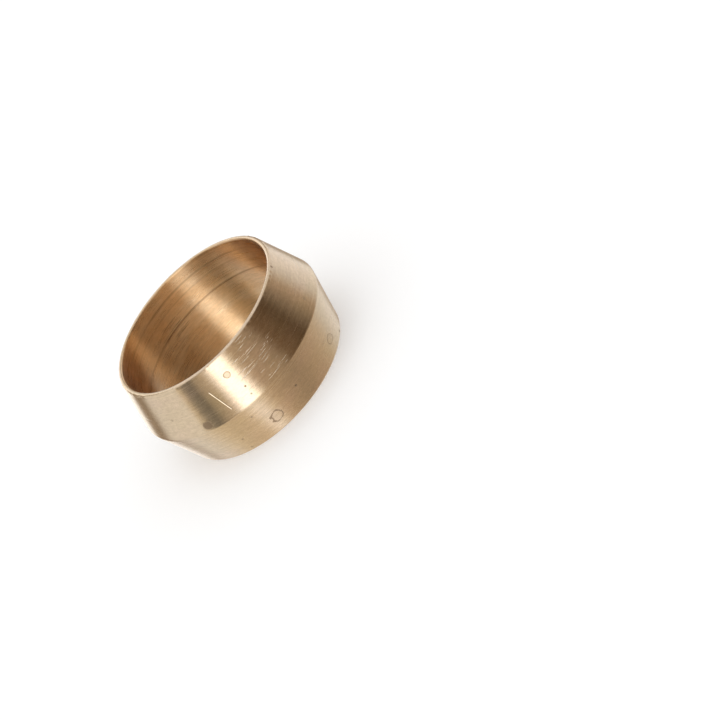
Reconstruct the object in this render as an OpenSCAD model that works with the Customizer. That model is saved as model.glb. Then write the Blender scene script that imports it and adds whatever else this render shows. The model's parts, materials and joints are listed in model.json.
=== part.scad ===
// Compression bush: the soft brass ring, or olive, of a compression pipe joint.
// The ring slides over the end of the tube and sits between the fitting and its nut.
// Each half is a cone. As the nut is tightened, the two cones are pushed into
// tapered seats and the thin lips are squeezed down on to the tube.
// The ring stands on one lip, with the bore along Z and the origin in the middle of its base.

/* [Tube] */
// Outside diameter of the tube that passes through the bush
tube_d = 15; // [8:0.5:42]
// How much wider the bore is than the tube, on the diameter
bore_play = 0.1; // [0.04:0.02:0.3]

/* [Ring] */
// Length of the ring from one end face to the other
ring_length = 8.6; // [6:0.1:14]
// Wall thickness at each lip, from the bore to the start of the cone
lip_wall = 0.35; // [0.3:0.05:0.7]
// Wall thickness at the ridge, where the two cones meet
ridge_wall = 1.55; // [1:0.05:2.5]

/* [Edges] */
// Radius of the rounding over the ridge
ridge_round = 0.4; // [0.1:0.05:0.8]
// Radius of the rounding where each cone meets its end face
lip_round = 0.1; // [0.04:0.02:0.14]
// Size of the chamfer that opens each mouth of the bore
mouth_chamfer = 0.08; // [0.04:0.02:0.12]

/* [Hidden] */

brass = [0.78, 0.63, 0.42];
turned_faces = 180;
arc_steps = 8;

bore_r = (tube_d + bore_play) / 2;
lip_r = bore_r + lip_wall;
ridge_r = bore_r + ridge_wall;
half_length = ring_length / 2;

// The cone starts at the sharp corner of the lip and runs up tangent to the ridge's rounding,
// so its angle to the axis follows from the two walls, the length and the rounding.
ridge_centre = [ridge_r - ridge_round, half_length];
lip_corner = [lip_r, 0];
lip_to_ridge = ridge_centre - lip_corner;
cone_angle = atan2(lip_to_ridge.x, lip_to_ridge.y) + asin(ridge_round / norm(lip_to_ridge));

// The lip's rounding touches both the end face and the cone.
lip_centre = [lip_r - lip_round * tan(45 - cone_angle / 2), lip_round];

// Points on an arc round a centre, from one angle to another, both ends included.
function arc(centre, radius, from, to) =
    [for (step = [0 : arc_steps])
        let (angle = from + (to - from) * step / arc_steps)
        centre + radius * [cos(angle), sin(angle)]];

// Mirror image of a point across the plane of the ridge.
function across_ridge(point) = [point.x, ring_length - point.y];

// Section of one half, as [radius, height] points from the bore out to the top of the ridge.
lower_half = concat(
    [[bore_r, mouth_chamfer], [bore_r + mouth_chamfer, 0]],
    arc(lip_centre, lip_round, -90, -cone_angle),
    arc(ridge_centre, ridge_round, -cone_angle, 0)
);

// The other half is the same section turned end for end. It leaves out the ridge's own top point,
// which the lower half already has.
upper_half = [for (i = [len(lower_half) - 2 : -1 : 0]) across_ridge(lower_half[i])];

module ring_section() {
    polygon(concat(lower_half, upper_half));
}

module bush() {
    color(brass)
        rotate_extrude($fn = turned_faces)
            ring_section();
}

bush();
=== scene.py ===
"""A brass compression bush, the double-cone ring of a pipe joint: its finish, floor, light and camera."""

import json
import math

import bmesh
import bpy
from bpy.props import FloatProperty, FloatVectorProperty, IntProperty, PointerProperty
from mathutils import Matrix, Vector, noise


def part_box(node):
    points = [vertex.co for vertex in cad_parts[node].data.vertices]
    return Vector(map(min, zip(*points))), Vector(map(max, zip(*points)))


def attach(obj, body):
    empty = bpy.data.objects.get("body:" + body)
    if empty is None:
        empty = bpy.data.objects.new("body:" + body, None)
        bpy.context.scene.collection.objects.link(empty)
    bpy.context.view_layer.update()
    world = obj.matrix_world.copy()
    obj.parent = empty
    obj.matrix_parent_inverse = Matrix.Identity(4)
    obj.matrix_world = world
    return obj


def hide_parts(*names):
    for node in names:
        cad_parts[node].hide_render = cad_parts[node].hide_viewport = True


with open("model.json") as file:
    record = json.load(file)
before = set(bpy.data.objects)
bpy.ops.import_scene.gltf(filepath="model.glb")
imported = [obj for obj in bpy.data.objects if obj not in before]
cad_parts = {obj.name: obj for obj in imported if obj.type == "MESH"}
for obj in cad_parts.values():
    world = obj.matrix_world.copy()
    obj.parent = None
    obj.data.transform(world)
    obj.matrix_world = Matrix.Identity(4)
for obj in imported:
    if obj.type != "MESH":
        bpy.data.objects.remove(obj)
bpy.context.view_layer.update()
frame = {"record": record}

bl_info = {
    "name": "Compression bush",
    "version": (1, 0, 0),
    "blender": (4, 5, 0),
    "location": "3D View > Sidebar > Bush",
    "description": "Models a turned brass compression ring with its finish, and sets its stage",
    "category": "Add Mesh",
}

BUSH_LOW, BUSH_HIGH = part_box("bush")
BORE = next(mount for mount in frame["record"]["mounts"] if mount["name"] == "bore")
MM = 0.001
PICTURE_SIDE = 720


class BushSizes(bpy.types.PropertyGroup):
    """Sizes of the ring. Its length, ridge and bore come from the frame."""

    length: FloatProperty(
        name="Length",
        description="From one end face to the other",
        default=BUSH_HIGH.z - BUSH_LOW.z,
        unit="LENGTH",
    )
    ridge_radius: FloatProperty(
        name="Ridge radius",
        description="Radius over the rounded ridge",
        default=BUSH_HIGH.x,
        unit="LENGTH",
    )
    bore_radius: FloatProperty(
        name="Bore radius",
        description="Radius of the bore's wall",
        default=BORE["dims"]["r_mm"] * MM,
        unit="LENGTH",
    )
    lip_wall: FloatProperty(
        name="Lip wall",
        description="From the bore to the start of the cone",
        default=0.35 * MM,
        unit="LENGTH",
    )
    ridge_round: FloatProperty(
        name="Ridge rounding",
        description="Radius of the rounding over the ridge",
        default=0.4 * MM,
        unit="LENGTH",
    )
    lip_round: FloatProperty(
        name="Lip rounding",
        description="Radius of the rounding outside each lip",
        default=0.1 * MM,
        unit="LENGTH",
    )
    mouth_chamfer: FloatProperty(
        name="Mouth chamfer",
        description="Chamfer at each mouth of the bore",
        default=0.08 * MM,
        unit="LENGTH",
    )
    groove_depth: FloatProperty(
        name="Groove depth",
        description="Depth of the fine groove round the upper cone",
        default=0.014 * MM,
        unit="LENGTH",
    )
    tool_line_depth: FloatProperty(
        name="Tool line depth",
        description="Depth of the lines that the boring tool left",
        default=0.012 * MM,
        unit="LENGTH",
    )
    burr: FloatProperty(
        name="Burr",
        description="How far the burr stands out on the upper lip",
        default=0.03 * MM,
        unit="LENGTH",
    )
    steps_around: IntProperty(
        name="Steps around",
        description="How many times the section is repeated round the axis",
        default=360,
        min=64,
    )
    rows_on_cone: IntProperty(
        name="Rows on a cone",
        description="How many rows of faces each cone has",
        default=62,
        min=8,
    )
    rows_in_bore: IntProperty(
        name="Rows in the bore",
        description="How many rows of faces the bore has",
        default=104,
        min=8,
    )


class BushFinish(bpy.types.PropertyGroup):
    """Colours and gloss of the brass."""

    brass: FloatVectorProperty(
        name="Brass",
        description="Colour of the turned brass outside",
        default=(0.69, 0.535, 0.385),
        subtype="COLOR",
        min=0,
        max=1,
    )
    golden: FloatVectorProperty(
        name="Golden brass",
        description="Colour of the patches outside that kept their yellow",
        default=(0.67, 0.53, 0.365),
        subtype="COLOR",
        min=0,
        max=1,
    )
    # Deeper orange than outside: partly the bore's tarnish, partly painted bounce light between its walls
    bore_brass_and_bounce: FloatVectorProperty(
        name="Bore brass",
        description="Colour of the brass in the bore",
        default=(0.72, 0.51, 0.31),
        subtype="COLOR",
        min=0,
        max=1,
    )
    # Real stain on the drops and tool lines, and also the colour of the painted shade smears in the bore
    stain_and_shade: FloatVectorProperty(
        name="Stain",
        description="Colour of dried water and tarnish",
        default=(0.20, 0.12, 0.06),
        subtype="COLOR",
        min=0,
        max=1,
    )
    gloss: FloatProperty(
        name="Turned roughness",
        description="Roughness of the turned faces",
        default=0.23,
        subtype="FACTOR",
    )
    bore_gloss: FloatProperty(
        name="Bore roughness",
        description="Roughness of the bored face",
        default=0.30,
        subtype="FACTOR",
    )


class BushStage(bpy.types.PropertyGroup):
    """Camera and floor."""

    camera_distance: FloatProperty(
        name="Camera distance",
        description="From the lens to the middle of the ring",
        default=0.276,
        unit="LENGTH",
    )
    camera_elevation: FloatProperty(
        name="Camera elevation",
        description="Height of the camera above the ring's own horizon",
        default=math.radians(27.68),
        subtype="ANGLE",
    )
    camera_roll: FloatProperty(
        name="Camera roll",
        description="How far the ring's axis leans anticlockwise in the picture",
        default=math.radians(47.71),
        subtype="ANGLE",
    )
    lens: FloatProperty(
        name="Lens",
        description="Focal length, in millimetres on a 36 mm sensor",
        default=174.24,
    )
    place_px: FloatVectorProperty(
        name="Place in the picture",
        description="Pixel of the picture where the middle of the ring lies",
        default=(229.1, 347.5),
        size=2,
    )
    floor_radius: FloatProperty(
        name="Floor radius",
        description="Radius of the floor",
        default=0.6,
        unit="LENGTH",
    )


def half_section(size):
    """Lean of the cones from the axis, and radius of the ridge's corner before it is rounded."""
    rise = size.ridge_radius - size.ridge_round - size.bore_radius - size.lip_wall
    half = size.length / 2
    lean = math.atan2(rise, half) + math.asin(size.ridge_round / math.hypot(rise, half))
    corner = size.ridge_radius + size.ridge_round * (1 / math.cos(lean) - 1)
    return lean, corner


def round_corner(mesh, corner, radius, turn, segments):
    """Rounds one corner of an outline that turns there by the given angle."""
    bmesh.ops.bevel(
        mesh,
        geom=[corner],
        offset=radius * math.tan(turn / 2),
        offset_type="OFFSET",
        affect="VERTICES",
        segments=segments,
        profile=0.5,
        material=-1,
    )


def ring_section(size):
    """Outline of the ring's section, as a loop of edges in the XZ plane."""
    lean, ridge_corner = half_section(size)
    lip_radius = size.bore_radius + size.lip_wall
    mesh = bmesh.new()
    lower_mouth = mesh.verts.new((size.bore_radius, 0, 0))
    lower_lip = mesh.verts.new((lip_radius, 0, 0))
    ridge = mesh.verts.new((ridge_corner, 0, size.length / 2))
    upper_lip = mesh.verts.new((lip_radius, 0, size.length))
    upper_mouth = mesh.verts.new((size.bore_radius, 0, size.length))
    mesh.faces.new((lower_mouth, lower_lip, ridge, upper_lip, upper_mouth))
    round_corner(mesh, ridge, size.ridge_round, 2 * lean, 8)
    for lip in (lower_lip, upper_lip):
        round_corner(mesh, lip, size.lip_round, math.pi / 2 + lean, 6)
    for mouth in (lower_mouth, upper_mouth):
        bmesh.ops.bevel(
            mesh,
            geom=[mouth],
            offset=size.mouth_chamfer,
            offset_type="OFFSET",
            affect="VERTICES",
            segments=1,
            profile=0.5,
            material=-1,
        )
    bmesh.ops.delete(mesh, geom=mesh.faces[:], context="FACES_ONLY")
    longest = sorted(mesh.edges, key=lambda edge: edge.calc_length())[-3:]
    for edge in longest:
        bored = max(vert.co.x for vert in edge.verts) < size.bore_radius + size.mouth_chamfer / 2
        rows = size.rows_in_bore if bored else size.rows_on_cone
        bmesh.ops.subdivide_edges(mesh, edges=[edge], cuts=rows - 1)
    return mesh


GROOVE = (0.60, 0.02)
TOOL_LINES = ((0.13, 0.012, 0.8), (0.225, 0.009, 0.5), (0.40, 0.010, 1.0))
TOOL_WAVE = 0.0012 * MM
HAND_WAVE = 0.004 * MM


def dip(place, centre, width):
    """A narrow dip, 1 at its centre and 0 a little past its width."""
    return math.exp(-(((place - centre) / width) ** 2))


def wear(mesh, size):
    """Moves points a little: waves, the groove, the bore's tool lines and the upper lip's burr."""
    half = size.length / 2
    lip_radius = size.bore_radius + size.lip_wall
    groove_at, groove_width = GROOVE
    for vert in mesh.verts:
        out = Vector((vert.co.x, vert.co.y, 0))
        radius = out.length
        out /= radius
        height = vert.co.z
        near_lip = min(height, size.length - height) < 2 * size.lip_round
        around = noise.noise(Vector((out.x * 2.5, out.y * 2.5, height / (6 * MM))))
        rows = noise.noise(Vector((out.x * 3, out.y * 3, height / (0.16 * MM))))
        shift = around * HAND_WAVE + rows * TOOL_WAVE
        if radius < size.bore_radius + size.mouth_chamfer / 2:
            depth = 1 - height / size.length
            patchy = 0.6 + noise.noise(Vector((out.x * 4, out.y * 4, 5)))
            for line_at, line_width, share in TOOL_LINES:
                shift += dip(depth, line_at, line_width) * size.tool_line_depth * share * patchy
            shift += rows * TOOL_WAVE
        elif height > half and not near_lip:
            down = 2 * (1 - height / size.length)
            patchy = 0.75 + noise.noise(Vector((out.x * 5, out.y * 5, 9)))
            raised_edge = 0.5 * dip(down, groove_at - 2 * groove_width, groove_width)
            cut = dip(down, groove_at, groove_width) - raised_edge
            shift -= cut * size.groove_depth * patchy
        elif height > half and radius > lip_radius - size.lip_round:
            ragged = noise.noise(Vector((out.x * 40, out.y * 40, 3)))
            chipped = noise.noise(Vector((out.x * 7, out.y * 7, 1)))
            shift += max(0, ragged + chipped) * size.burr
            vert.co.z += max(0, ragged) * size.burr / 2
        vert.co += out * shift


def turned_ring(size):
    """Spins the section into the whole ring, with its faces pointing outwards."""
    mesh = ring_section(size)
    bmesh.ops.spin(
        mesh,
        geom=mesh.verts[:] + mesh.edges[:],
        cent=(0, 0, 0),
        axis=(0, 0, 1),
        dvec=(0, 0, 0),
        angle=math.tau,
        steps=size.steps_around,
        use_merge=True,
        use_duplicate=False,
    )
    bmesh.ops.remove_doubles(mesh, verts=mesh.verts[:], dist=0.0001 * MM)
    bmesh.ops.recalc_face_normals(mesh, faces=mesh.faces[:])
    for face in mesh.faces:
        centre = face.calc_center_median()
        bored = math.hypot(centre.x, centre.y) < size.bore_radius + size.mouth_chamfer / 2
        face.material_index = 1 if bored else 0
    wear(mesh, size)
    return mesh


def on_upper_cone(size, angle, share):
    """Point on the upper cone: angle in degrees from the front towards +X, share from lip to ridge."""
    return on_cone(size, angle, size.length * (1 - share / 2), share)


def on_lower_cone(size, angle, share):
    """Point on the lower cone: angle in degrees from the front towards +X, share from ridge to foot."""
    return on_cone(size, angle, size.length / 2 * (1 - share), 1 - share)


def on_cone(size, angle, height, share):
    """Point on a cone at a height, share of the way from its lip to the ridge."""
    lip_radius = size.bore_radius + size.lip_wall
    return round_the_axis(lip_radius + (size.ridge_radius - lip_radius) * share, angle, height)


def in_bore(size, angle, share):
    """Point on the bore: angle in degrees from the back towards -X, share from the upper lip to the foot."""
    return round_the_axis(size.bore_radius, angle + 180, size.length * (1 - share))


def round_the_axis(radius, angle, height):
    """Point at a radius, an angle in degrees from the front towards +X, and a height."""
    turn = math.radians(angle)
    return Vector((radius * math.sin(turn), -radius * math.cos(turn), height))


def new_object(name, mesh, materials):
    """Makes an object of a bmesh, shades it smooth and links it to the scene."""
    data = bpy.data.meshes.new(name)
    mesh.to_mesh(data)
    mesh.free()
    data.shade_smooth()
    for material in materials:
        data.materials.append(material)
    piece = bpy.data.objects.new(name, data)
    bpy.context.scene.collection.objects.link(piece)
    return piece


def new_material(name):
    """Makes a node material, and returns it with its tree and main shader."""
    material = bpy.data.materials.new(name)
    material.use_nodes = True
    return material, material.node_tree, material.node_tree.nodes["Principled BSDF"]


def connect(tree, value, socket):
    """Links a socket to a node's input, or writes a number or colour there."""
    if isinstance(value, bpy.types.NodeSocket):
        tree.links.new(value, socket)
    else:
        socket.default_value = value


def maths(tree, operation, *values, clamp=False):
    """Adds a Math node and returns its output."""
    node = tree.nodes.new("ShaderNodeMath")
    node.operation = operation
    node.use_clamp = clamp
    for value, socket in zip(values, node.inputs):
        connect(tree, value, socket)
    return node.outputs[0]


def vectors(tree, operation, *values):
    """Adds a Vector Math node and returns its vector or, for a length or a product, its value."""
    node = tree.nodes.new("ShaderNodeVectorMath")
    node.operation = operation
    for value, socket in zip(values, node.inputs):
        connect(tree, value, socket)
    number = operation in ("LENGTH", "DISTANCE", "DOT_PRODUCT")
    return node.outputs["Value" if number else "Vector"]


def fade(tree, value, start, end, low=0.0, high=1.0):
    """Maps a value smoothly from start to end onto low to high, and holds it outside them."""
    node = tree.nodes.new("ShaderNodeMapRange")
    node.interpolation_type = "SMOOTHSTEP"
    names = ("Value", "From Min", "From Max", "To Min", "To Max")
    for name, number in zip(names, (value, start, end, low, high)):
        connect(tree, number, node.inputs[name])
    return node.outputs["Result"]


def tint(tree, blend, share, first, second):
    """Mixes two colours and returns the result."""
    node = tree.nodes.new("ShaderNodeMix")
    node.data_type = "RGBA"
    node.blend_type = blend
    connect(tree, share, node.inputs[0])
    for value, socket in ((first, node.inputs[6]), (second, node.inputs[7])):
        connect(tree, value, socket)
    return node.outputs[2]


def grain(tree, place, scale, detail=2.0, rough=0.5):
    """Adds a noise that is stretched by a scale along each axis, and returns its value."""
    mapping = tree.nodes.new("ShaderNodeMapping")
    mapping.inputs["Scale"].default_value = scale
    connect(tree, place, mapping.inputs["Vector"])
    node = tree.nodes.new("ShaderNodeTexNoise")
    node.inputs["Scale"].default_value = 1
    node.inputs["Detail"].default_value = detail
    node.inputs["Roughness"].default_value = rough
    tree.links.new(mapping.outputs[0], node.inputs["Vector"])
    return node.outputs["Fac"]


def new_group(name, inputs, outputs):
    """Makes a shader node group, and returns it with its inputs by name and its output node."""
    group = bpy.data.node_groups.new(name, "ShaderNodeTree")
    for label, kind in inputs:
        group.interface.new_socket(name=label, in_out="INPUT", socket_type=kind)
    for label in outputs:
        group.interface.new_socket(name=label, in_out="OUTPUT", socket_type="NodeSocketFloat")
    start = group.nodes.new("NodeGroupInput")
    end = group.nodes.new("NodeGroupOutput")
    return group, start.outputs, end.inputs


def use_group(tree, group, **values):
    """Places a node group in a material, with its inputs by name, and returns its outputs."""
    node = tree.nodes.new("ShaderNodeGroup")
    node.node_tree = group
    for name, value in values.items():
        connect(tree, value, node.inputs[name.replace("_", " ").capitalize()])
    return node.outputs


VECTOR = "NodeSocketVector"
NUMBER = "NodeSocketFloat"
LINE_HEIGHT = 0.0035 * MM
SCRATCH_DEPTH = 0.01 * MM
SCRATCH_WIDTH = 0.06 * MM


def turning_group():
    """Lines of the cutting tool round the axis: a height for bump, and streaks for colour and roughness."""
    group, given, result = new_group("turning_lines", [("Place", VECTOR)], ["Height", "Streaks"])
    fine = grain(group, given["Place"], (260, 260, 26000), 3, 0.6)
    broad = grain(group, given["Place"], (180, 180, 5200), 2, 0.5)
    group.links.new(maths(group, "MULTIPLY", fine, LINE_HEIGHT), result["Height"])
    half_fine = maths(group, "MULTIPLY", fine, 0.5)
    half_broad = maths(group, "MULTIPLY", broad, 0.5)
    group.links.new(maths(group, "ADD", half_fine, half_broad), result["Streaks"])
    return group


def scratch_group():
    """Short scratches round the axis, where the brass was handled."""
    group, given, result = new_group("short_scratches", [("Place", VECTOR), ("Amount", NUMBER)], ["Mask"])
    scratches = grain(group, given["Place"], (620, 620, 15000), 1.5, 0.5)
    level = maths(group, "SUBTRACT", 0.78, maths(group, "MULTIPLY", given["Amount"], 0.16))
    above = maths(group, "SUBTRACT", scratches, level)
    group.links.new(maths(group, "MULTIPLY", above, 14, clamp=True), result["Mask"])
    return group


def cloud_group():
    """Soft patches in the tone of the brass, a little longer round the axis than along it."""
    group, given, result = new_group("tone_clouds", [("Place", VECTOR)], ["Broad", "Fine"])
    broad = grain(group, given["Place"], (240, 240, 420), 3, 0.55)
    fine = grain(group, given["Place"], (2600, 2600, 5200), 3, 0.65)
    group.links.new(fade(group, broad, 0.38, 0.62), result["Broad"])
    group.links.new(fine, result["Fine"])
    return group


def mark_group():
    """A dried drop: a full spot, and the rim that it leaves, with a wandering edge."""
    inputs = [("Place", VECTOR), ("Centre", VECTOR), ("Radius", NUMBER), ("Rim", NUMBER)]
    group, given, result = new_group("dried_drop", inputs, ["Spot", "Edge"])
    wander = grain(group, given["Place"], (1700, 1700, 1700), 1, 0.5)
    away = vectors(group, "DISTANCE", given["Place"], given["Centre"])
    bent = maths(group, "MULTIPLY", away, fade(group, wander, 0.25, 0.75, 0.82, 1.18))
    share = maths(group, "DIVIDE", bent, given["Radius"])
    off_rim = maths(group, "ABSOLUTE", maths(group, "SUBTRACT", share, 0.85))
    group.links.new(fade(group, share, 1.0, 0.72), result["Spot"])
    inner_rim = maths(group, "MULTIPLY", given["Rim"], 0.3)
    group.links.new(fade(group, off_rim, given["Rim"], inner_rim), result["Edge"])
    return group


def stroke_group():
    """A straight scratch from one point to another."""
    inputs = [("Place", VECTOR), ("Start", VECTOR), ("End", VECTOR), ("Width", NUMBER)]
    group, given, result = new_group("scratch_stroke", inputs, ["Mask"])
    along = vectors(group, "SUBTRACT", given["End"], given["Start"])
    from_start = vectors(group, "SUBTRACT", given["Place"], given["Start"])
    square = vectors(group, "DOT_PRODUCT", along, along)
    share = maths(group, "DIVIDE", vectors(group, "DOT_PRODUCT", from_start, along), square, clamp=True)
    scaled = group.nodes.new("ShaderNodeVectorMath")
    scaled.operation = "SCALE"
    group.links.new(along, scaled.inputs[0])
    group.links.new(share, scaled.inputs["Scale"])
    away = vectors(group, "DISTANCE", from_start, scaled.outputs[0])
    group.links.new(fade(group, away, given["Width"], 0.0), result["Mask"])
    return group


UPPER_DROPS = (
    # angle, share, radius in mm, rim, depth of the spot, depth of the rim
    (-11.4, 0.35, 0.30, 0.22, 0.25, 0.55),
    (-38.2, 0.89, 0.42, 0.20, 0.75, 0.30),
    (-8.9, 0.71, 0.11, 0.30, 0.70, 0.30),
    (-9.4, 0.88, 0.09, 0.30, 0.55, 0.30),
    (59.6, 0.04, 0.15, 0.30, 0.65, 0.20),
    (49.8, 0.77, 0.20, 0.30, 0.30, 0.10),
    (-56.6, 0.57, 0.13, 0.30, 0.25, 0.10),
)
LOWER_DROPS = (
    (-9.3, 0.65, 0.62, 0.16, 0.16, 0.75),
    (8.8, 0.49, 0.14, 0.30, 0.85, 0.20),
    (-18.5, 0.27, 0.13, 0.30, 0.40, 0.10),
    (-33.0, 0.61, 0.12, 0.30, 0.30, 0.10),
    (-34.3, 0.91, 0.13, 0.30, 0.25, 0.10),
    (44.9, 0.69, 0.50, 0.16, 0.06, 0.28),
    (58.9, 0.96, 0.14, 0.30, 0.60, 0.20),
)
HANDLED_AT = (7, 0.5)
HANDLED_RADIUS = 2.8 * MM
SCRATCH_FROM = (-25.5, 0.40)
SCRATCH_TO = (-22.0, 0.86)
# Where the painted shade smears sit in the bore: angle, share down the bore, and their radius
SHADE_SMEARS_AT = (15, 0.42)
SHADE_SMEARS_RADIUS = 2.4 * MM


def object_place(tree):
    """Coordinates of the piece itself, in metres."""
    return tree.nodes.new("ShaderNodeTexCoord").outputs["Object"]


def drops_from(size, point_on, table):
    """Turns a table of drops into points, radii in metres, rims and depths."""
    return [(point_on(size, angle, share), radius * MM, *rest) for angle, share, radius, *rest in table]


def drops_on(tree, place, drop_group, drops):
    """Joins dried drops, each a point, a radius, a rim and two depths, into one mask."""
    mask = 0.0
    for centre, radius, rim, spot_depth, edge_depth in drops:
        drop = use_group(tree, drop_group, place=place, centre=centre, radius=radius, rim=rim)
        spot = maths(tree, "MULTIPLY", drop["Spot"], spot_depth)
        edge = maths(tree, "MULTIPLY", drop["Edge"], edge_depth)
        mask = maths(tree, "MAXIMUM", maths(tree, "MAXIMUM", spot, edge), mask)
    return mask


def finish_with_bump(tree, shader, height):
    """Feeds a height in metres to the shader's normal."""
    bump = tree.nodes.new("ShaderNodeBump")
    bump.inputs["Strength"].default_value = 1
    bump.inputs["Distance"].default_value = 1
    tree.links.new(height, bump.inputs["Height"])
    tree.links.new(bump.outputs[0], shader.inputs["Normal"])


def brush_round_axis(tree, shader, amount):
    """Stretches the highlights along the axis, as fine turning marks do."""
    shader.inputs["Anisotropic"].default_value = amount
    shader.inputs["Anisotropic Rotation"].default_value = 0.25
    around = tree.nodes.new("ShaderNodeTangent")
    around.direction_type = "RADIAL"
    around.axis = "Z"
    tree.links.new(around.outputs["Tangent"], shader.inputs["Tangent"])


def turned_brass(size, finish, groups):
    """Brass of the two cones and the lips: pale, turned, a little scratched, with a painted glint on the
    scratches, and marked by dried drops.
    """
    material, tree, shader = new_material("turned_brass")
    place = object_place(tree)
    lines = use_group(tree, groups["turning"], place=place)
    clouds = use_group(tree, groups["clouds"], place=place)
    tone = tint(tree, "MIX", clouds["Broad"], (*finish.brass, 1), (*finish.golden, 1))
    tone = tint(tree, "MULTIPLY", 1.0, tone, fade(tree, clouds["Fine"], 0.3, 0.7, 0.93, 1.05))
    tone = tint(tree, "MULTIPLY", 1.0, tone, fade(tree, lines["Streaks"], 0.35, 0.65, 0.94, 1.05))

    to_handled = vectors(tree, "DISTANCE", place, on_upper_cone(size, *HANDLED_AT))
    handled = fade(tree, to_handled, HANDLED_RADIUS, HANDLED_RADIUS / 2)
    elsewhere = fade(tree, grain(tree, place, (200, 200, 300)), 0.55, 0.75, 0.0, 0.6)
    amount = maths(tree, "MAXIMUM", handled, elsewhere)
    scratches = use_group(tree, groups["scratches"], place=place, amount=amount)["Mask"]
    start = on_upper_cone(size, *SCRATCH_FROM)
    end = on_upper_cone(size, *SCRATCH_TO)
    stroke = use_group(tree, groups["stroke"], place=place, start=start, end=end, width=SCRATCH_WIDTH)["Mask"]
    # Painted glint: the scratches and the stroke are tinted pale, as if they caught light; the scratches
    # themselves, with their roughness and cuts, are real
    scratch_glint = maths(tree, "MULTIPLY", scratches, 0.7)
    stroke_glint = maths(tree, "MULTIPLY", stroke, 0.5)
    painted_glint = maths(tree, "MAXIMUM", scratch_glint, stroke_glint)
    tone = tint(tree, "MIX", painted_glint, tone, (0.95, 0.84, 0.70, 1))

    drops = drops_from(size, on_upper_cone, UPPER_DROPS) + drops_from(size, on_lower_cone, LOWER_DROPS)
    stained = drops_on(tree, place, groups["drop"], drops)
    tone = tint(tree, "MIX", stained, tone, (*finish.stain_and_shade, 1))
    tree.links.new(tone, shader.inputs["Base Color"])
    tree.links.new(fade(tree, stained, 0.0, 1.0, 1.0, 0.5), shader.inputs["Metallic"])
    rough = fade(tree, lines["Streaks"], 0.3, 0.7, finish.gloss - 0.04, finish.gloss + 0.05)
    rough = maths(tree, "ADD", rough, maths(tree, "MULTIPLY", stained, 0.25))
    rough = maths(tree, "ADD", rough, maths(tree, "MULTIPLY", scratches, 0.1))
    tree.links.new(rough, shader.inputs["Roughness"])
    cuts = maths(tree, "MULTIPLY", maths(tree, "ADD", scratches, stroke), -SCRATCH_DEPTH)
    finish_with_bump(tree, shader, maths(tree, "ADD", lines["Height"], cuts))
    brush_round_axis(tree, shader, 0.88)
    return material


def bored_brass(size, finish, groups):
    """Brass of the bore: deeper in colour, partly its tarnish and partly painted bounce light, with tool lines
    round it and painted shade as dark smears on one side.
    """
    material, tree, shader = new_material("bored_brass")
    place = object_place(tree)
    lines = use_group(tree, groups["turning"], place=place)
    clouds = use_group(tree, groups["clouds"], place=place)
    deeper = tuple(part * share for part, share in zip(finish.bore_brass_and_bounce, (0.92, 0.84, 0.74)))
    tone = tint(tree, "MIX", clouds["Broad"], (*finish.bore_brass_and_bounce, 1), (*deeper, 1))
    tone = tint(tree, "MULTIPLY", 1.0, tone, fade(tree, clouds["Fine"], 0.3, 0.7, 0.93, 1.05))
    tone = tint(tree, "MULTIPLY", 1.0, tone, fade(tree, lines["Streaks"], 0.3, 0.7, 0.86, 1.08))
    axes = tree.nodes.new("ShaderNodeSeparateXYZ")
    tree.links.new(place, axes.inputs[0])
    patchy = fade(tree, grain(tree, place, (170, 170, 100)), 0.35, 0.6, 0.2, 1.0)
    for share_down, width, depth in TOOL_LINES:
        off = maths(tree, "ABSOLUTE", maths(tree, "SUBTRACT", axes.outputs["Z"], size.length * (1 - share_down)))
        line = fade(tree, off, width * 1.6 * size.length, 0.0, 0.0, 0.55 * depth)
        tone = tint(tree, "MIX", maths(tree, "MULTIPLY", line, patchy), tone, (*finish.stain_and_shade, 1))
    # Painted shade: dark smears on one side of the bore, where its wall reflects dark surroundings
    to_shade_smears = vectors(tree, "DISTANCE", place, in_bore(size, *SHADE_SMEARS_AT))
    near = fade(tree, to_shade_smears, SHADE_SMEARS_RADIUS, SHADE_SMEARS_RADIUS / 3)
    shade_smears = use_group(tree, groups["scratches"], place=place, amount=maths(tree, "MULTIPLY", near, 1.3))["Mask"]
    tone = tint(tree, "MIX", maths(tree, "MULTIPLY", shade_smears, 0.6), tone, (*finish.stain_and_shade, 1))
    tree.links.new(tone, shader.inputs["Base Color"])
    shader.inputs["Metallic"].default_value = 1
    rough = fade(tree, lines["Streaks"], 0.3, 0.7, finish.bore_gloss - 0.05, finish.bore_gloss + 0.06)
    tree.links.new(rough, shader.inputs["Roughness"])
    finish_with_bump(tree, shader, maths(tree, "MULTIPLY", lines["Height"], 1.6))
    brush_round_axis(tree, shader, 0.92)
    return material


class BUSH_OT_turn_ring(bpy.types.Operator):
    """Models the ring and gives it its brass"""

    bl_idname = "bush.turn_ring"
    bl_label = "Turn the ring"

    def execute(self, context):
        size = context.scene.bush_sizes
        finish = context.scene.bush_finish
        groups = {
            "turning": turning_group(),
            "scratches": scratch_group(),
            "clouds": cloud_group(),
            "drop": mark_group(),
            "stroke": stroke_group(),
        }
        brasses = [turned_brass(size, finish, groups), bored_brass(size, finish, groups)]
        ring = new_object("turned_ring", turned_ring(size), brasses)
        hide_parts("bush")
        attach(ring, "root")
        return {"FINISHED"}


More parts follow.
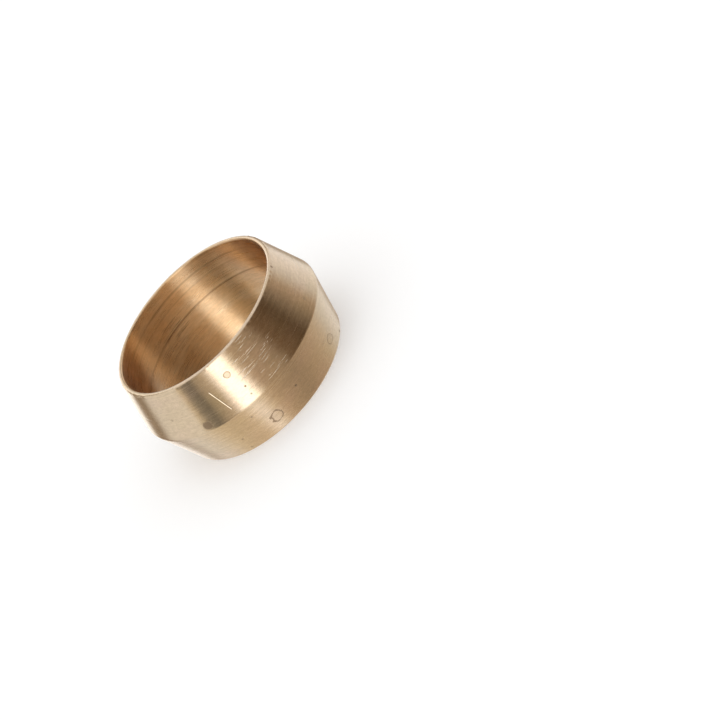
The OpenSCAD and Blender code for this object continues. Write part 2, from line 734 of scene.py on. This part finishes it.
PAPER = (1.0, 1.0, 1.0)
GOLD = (1.0, 0.87, 0.66)
BROWN = (1.0, 0.80, 0.60)
GREY = (1.0, 0.92, 0.80)
DEEP_BROWN = (1.0, 0.66, 0.38)
BRIGHTEST = 2.5
LEVEL_VIEW = (
    # azimuth in degrees from the front towards +X, colour, brightness
    (-180, PAPER, 1.1),
    (-166, PAPER, 1.5),
    (-154, PAPER, 1.5),
    (-148, BROWN, 0.45),
    (-134, BROWN, 0.35),
    (-122, PAPER, 0.95),
    (-80, PAPER, 0.98),
    (-75, GOLD, 0.80),
    (-70, GREY, 0.32),
    (-59, GREY, 0.20),
    (-53, GOLD, 0.48),
    (-41, GOLD, 0.66),
    (-36, PAPER, 1.1),
    (-31, PAPER, 2.5),
    (-16, PAPER, 2.5),
    (-11, PAPER, 1.2),
    (-8, GOLD, 0.80),
    (-5, BROWN, 0.57),
    (20, BROWN, 0.45),
    (27, BROWN, 0.36),
    (34, DEEP_BROWN, 0.20),
    (62, DEEP_BROWN, 0.11),
    (75, BROWN, 0.26),
    (94, BROWN, 0.52),
    (112, PAPER, 0.82),
    (126, PAPER, 1.0),
    (150, PAPER, 1.1),
    (156, BROWN, 0.4),
    (166, BROWN, 0.45),
    (172, PAPER, 1.0),
    (180, PAPER, 1.1),
)
DOWNWARD_VIEW = (
    (-180, PAPER, 1.0),
    (-120, PAPER, 0.92),
    (-91, GOLD, 0.92),
    (-63, GOLD, 0.78),
    (-48, GOLD, 0.86),
    (-37, PAPER, 1.10),
    (-30, PAPER, 1.0),
    (-22, GOLD, 0.80),
    (-11, BROWN, 0.66),
    (10, BROWN, 0.54),
    (37, BROWN, 0.42),
    (53, BROWN, 0.50),
    (77, BROWN, 0.62),
    (100, GOLD, 0.75),
    (120, PAPER, 0.86),
    (150, PAPER, 1.0),
    (180, PAPER, 1.0),
)
DOWNWARD_FROM = math.radians(-33)
DOWNWARD_TO = math.radians(-46)
SKY_FROM = math.radians(35)
SKY_TO = math.radians(60)


def azimuth_ramp(tree, angle, stops):
    """Colours round the axis, from (azimuth, colour, brightness) stops, as a share of the brightest."""
    share = maths(tree, "ADD", maths(tree, "DIVIDE", angle, math.tau), 0.5)
    ramp = tree.nodes.new("ShaderNodeValToRGB")
    elements = ramp.color_ramp.elements
    elements.remove(elements[-1])
    for number, (azimuth, colour, brightness) in enumerate(stops):
        element = elements.new(azimuth / 360 + 0.5) if number else elements[0]
        element.position = azimuth / 360 + 0.5
        element.color = (*(part * brightness / BRIGHTEST for part in colour), 1)
    tree.links.new(share, ramp.inputs["Fac"])
    return ramp.outputs["Color"]


def lay_floor(stage):
    """A round pale floor under the ring, which the metal looks past."""
    mesh = bmesh.new()
    bmesh.ops.create_circle(mesh, cap_ends=True, segments=128, radius=stage.floor_radius)
    material, tree, shader = new_material("floor_paper")
    shader.inputs["Base Color"].default_value = (0.8, 0.8, 0.8, 1)
    shader.inputs["Roughness"].default_value = 0.9
    shader.inputs["Emission Color"].default_value = (1, 1, 1, 1)
    path = tree.nodes.new("ShaderNodeLightPath").outputs
    seen = maths(tree, "MAXIMUM", path["Is Camera Ray"], path["Is Glossy Ray"])
    seen = maths(tree, "MAXIMUM", seen, path["Is Transmission Ray"])
    tree.links.new(maths(tree, "MULTIPLY", seen, 0.25), shader.inputs["Emission Strength"])
    floor = new_object("floor", mesh, [material])
    floor.visible_glossy = False


def light_world():
    """Even white light from all round. In the metal it shows a window, a doorway and brown walls instead."""
    world = bpy.data.worlds.new("studio")
    world.use_nodes = True
    world.cycles.sampling_method = "NONE"
    tree = world.node_tree
    direction = tree.nodes.new("ShaderNodeTexCoord").outputs["Generated"]
    axes = tree.nodes.new("ShaderNodeSeparateXYZ")
    tree.links.new(direction, axes.inputs[0])
    angle = maths(tree, "ARCTAN2", axes.outputs["X"], maths(tree, "MULTIPLY", axes.outputs["Y"], -1.0))
    rise = maths(tree, "ARCSINE", axes.outputs["Z"])
    downward = fade(tree, rise, DOWNWARD_FROM, DOWNWARD_TO)
    level_view = azimuth_ramp(tree, angle, LEVEL_VIEW)
    downward_view = azimuth_ramp(tree, angle, DOWNWARD_VIEW)
    view = tint(tree, "MIX", downward, level_view, downward_view)
    white = (1 / BRIGHTEST, 1 / BRIGHTEST, 1 / BRIGHTEST, 1)
    view = tint(tree, "MIX", fade(tree, rise, SKY_FROM, SKY_TO), view, white)
    in_metal = tree.nodes.new("ShaderNodeLightPath").outputs["Is Glossy Ray"]
    background = tree.nodes["Background"]
    tree.links.new(tint(tree, "MIX", in_metal, white, view), background.inputs["Color"])
    background.inputs["Strength"].default_value = BRIGHTEST
    bpy.context.scene.world = world
    bpy.context.scene.view_settings.view_transform = "Standard"


def place_camera(stage, middle):
    """Aims the camera at the ring, rolls it, and turns it until the ring lies at its place in the picture."""
    rise = stage.camera_elevation
    away = Vector((0, -math.cos(rise), math.sin(rise)))
    camera = bpy.data.objects.new("camera", bpy.data.cameras.new("camera"))
    camera.data.lens = stage.lens
    camera.data.sensor_width = 36
    camera.data.clip_start = 0.01
    camera.data.clip_end = 5
    pixels = stage.lens / camera.data.sensor_width * PICTURE_SIDE
    right = (stage.place_px[0] - PICTURE_SIDE / 2) / pixels
    up = (PICTURE_SIDE / 2 - stage.place_px[1]) / pixels
    to_ring = Vector((right, up, -1))
    turn = Vector((0, 0, -1)).rotation_difference(to_ring).inverted().to_matrix()
    aim = (-away).to_track_quat("-Z", "Y").to_matrix()
    roll = Matrix.Rotation(-stage.camera_roll, 3, "Z")
    camera.matrix_world = Matrix.Translation(middle + away * stage.camera_distance) @ (aim @ roll @ turn).to_4x4()
    bpy.context.scene.collection.objects.link(camera)
    bpy.context.scene.camera = camera


class BUSH_OT_set_stage(bpy.types.Operator):
    """Lays the floor, and sets the light and the camera"""

    bl_idname = "bush.set_stage"
    bl_label = "Set the stage"

    def execute(self, context):
        size = context.scene.bush_sizes
        stage = context.scene.bush_stage
        lay_floor(stage)
        light_world()
        place_camera(stage, Vector((0, 0, size.length / 2)))
        return {"FINISHED"}


class BUSH_PT_panel(bpy.types.Panel):
    """Sizes, finish and stage of the ring"""

    bl_idname = "BUSH_PT_panel"
    bl_label = "Compression bush"
    bl_space_type = "VIEW_3D"
    bl_region_type = "UI"
    bl_category = "Bush"

    def draw(self, context):
        for group in (context.scene.bush_sizes, context.scene.bush_finish, context.scene.bush_stage):
            box = self.layout.box()
            for name in group.__annotations__:
                box.prop(group, name)
        self.layout.operator(BUSH_OT_turn_ring.bl_idname)
        self.layout.operator(BUSH_OT_set_stage.bl_idname)


CLASSES = (BushSizes, BushFinish, BushStage, BUSH_OT_turn_ring, BUSH_OT_set_stage, BUSH_PT_panel)


def register():
    for cls in CLASSES:
        bpy.utils.register_class(cls)
    bpy.types.Scene.bush_sizes = PointerProperty(type=BushSizes)
    bpy.types.Scene.bush_finish = PointerProperty(type=BushFinish)
    bpy.types.Scene.bush_stage = PointerProperty(type=BushStage)


def unregister():
    del bpy.types.Scene.bush_stage
    del bpy.types.Scene.bush_finish
    del bpy.types.Scene.bush_sizes
    for cls in reversed(CLASSES):
        bpy.utils.unregister_class(cls)


def main():
    register()
    bpy.ops.bush.turn_ring()
    bpy.ops.bush.set_stage()


if __name__ == "__main__":
    main()
